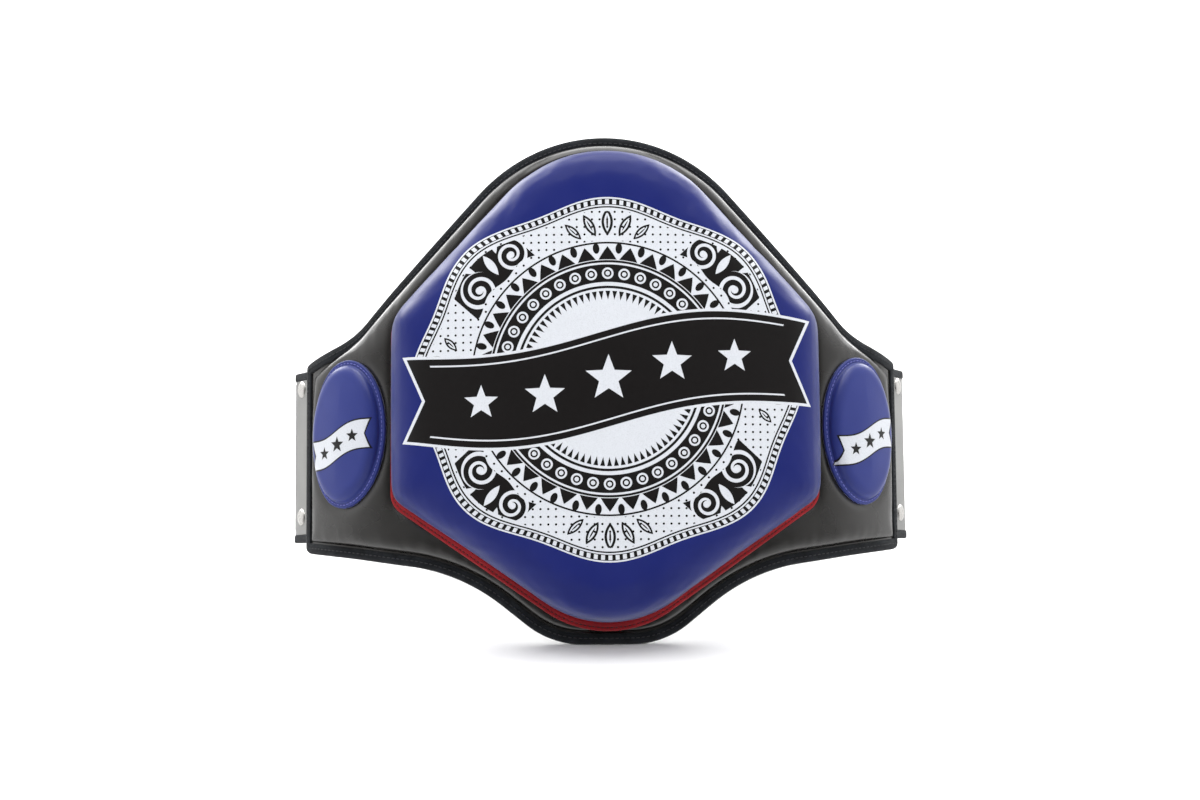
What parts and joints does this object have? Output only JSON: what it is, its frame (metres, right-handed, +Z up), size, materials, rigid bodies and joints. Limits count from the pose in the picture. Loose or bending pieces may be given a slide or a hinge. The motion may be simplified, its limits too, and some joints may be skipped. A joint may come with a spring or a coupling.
{
  "type": "trainer belly pad",
  "caption": "Padded waist guard for martial arts trainers: thick rounded strike pad on a curved shell, oval side pads, riveted end tabs and elastic hook-and-loop straps that close behind.",
  "frame": {"origin": "centre of the bounding box's footprint, on the floor the pad stands on", "axes": "+X to the right seen from the front, -Y the way the strike face looks, +Z up; the pad leans back 15 degrees about X and stands on its lower tip and both strap panels"},
  "size_m": [0.5298, 0.4264, 0.4012],
  "materials": {
    "shell_leather": "dark warm grey grained leather, soft sheen",
    "foam": "closed-cell foam sheet",
    "liner_fabric": "plain black woven lining",
    "binding_tape": "folded black binding tape",
    "flange_leather": "red leather with two stitch rows",
    "pad_leather": "blue grained leather with a printed plaque",
    "oval_leather": "blue grained leather",
    "tab_leather": "light grey leather",
    "nickel": "nickel plated cap rivet",
    "elastic_webbing": "ribbed black elastic webbing",
    "panel_leather": "dark grained leather",
    "hook_tape": "black hook tape",
    "loop_tape": "black brushed loop tape"
  },
  "bodies": {
    "pad": {"shell_cover": "shell_leather", "shell_foam": "foam", "shell_liner": "liner_fabric", "binding_top": "binding_tape", "binding_bottom": "binding_tape", "binding_left_end": "binding_tape", "binding_right_end": "binding_tape", "pad_flange": "flange_leather", "pad_cover": "pad_leather", "pad_foam_firm": "foam", "pad_foam_middle": "foam", "pad_foam_soft": "foam", "left_side_pad_cover": "oval_leather", "left_side_pad_foam": "foam", "left_tab_outer": "tab_leather", "left_tab_inner": "tab_leather", "left_elastic_anchor": "elastic_webbing", "left_rivet_lower": "nickel", "left_washer_lower": "nickel", "left_rivet_upper": "nickel", "left_washer_upper": "nickel", "right_side_pad_cover": "oval_leather", "right_side_pad_foam": "foam", "right_tab_outer": "tab_leather", "right_tab_inner": "tab_leather", "right_elastic_anchor": "elastic_webbing", "right_rivet_lower": "nickel", "right_washer_lower": "nickel", "right_rivet_upper": "nickel", "right_washer_upper": "nickel"},
    "strap_left": {"left_elastic": "elastic_webbing", "left_panel_leather": "panel_leather", "left_panel_foam": "foam", "left_panel_lining": "liner_fabric", "left_panel_binding": "binding_tape", "left_loop_patch": "loop_tape"},
    "strap_right": {"right_elastic": "elastic_webbing", "right_panel_leather": "panel_leather", "right_panel_foam": "foam", "right_panel_lining": "liner_fabric", "right_panel_binding": "binding_tape", "right_hook_patch": "hook_tape"}
  },
  "joints": [
    {"name": "left_strap_swing", "type": "hinge", "parent": "pad", "child": "strap_left", "pos_m": [-0.26182, -0.02479, 0.06298], "axis": [0, -0.2588, -0.9659], "range_deg": [-75, 27.3]},
    {"name": "right_strap_swing", "type": "hinge", "parent": "pad", "child": "strap_right", "pos_m": [0.26182, -0.02479, 0.06298], "axis": [0, 0.2588, 0.9659], "range_deg": [-75, 25]}
  ]
}
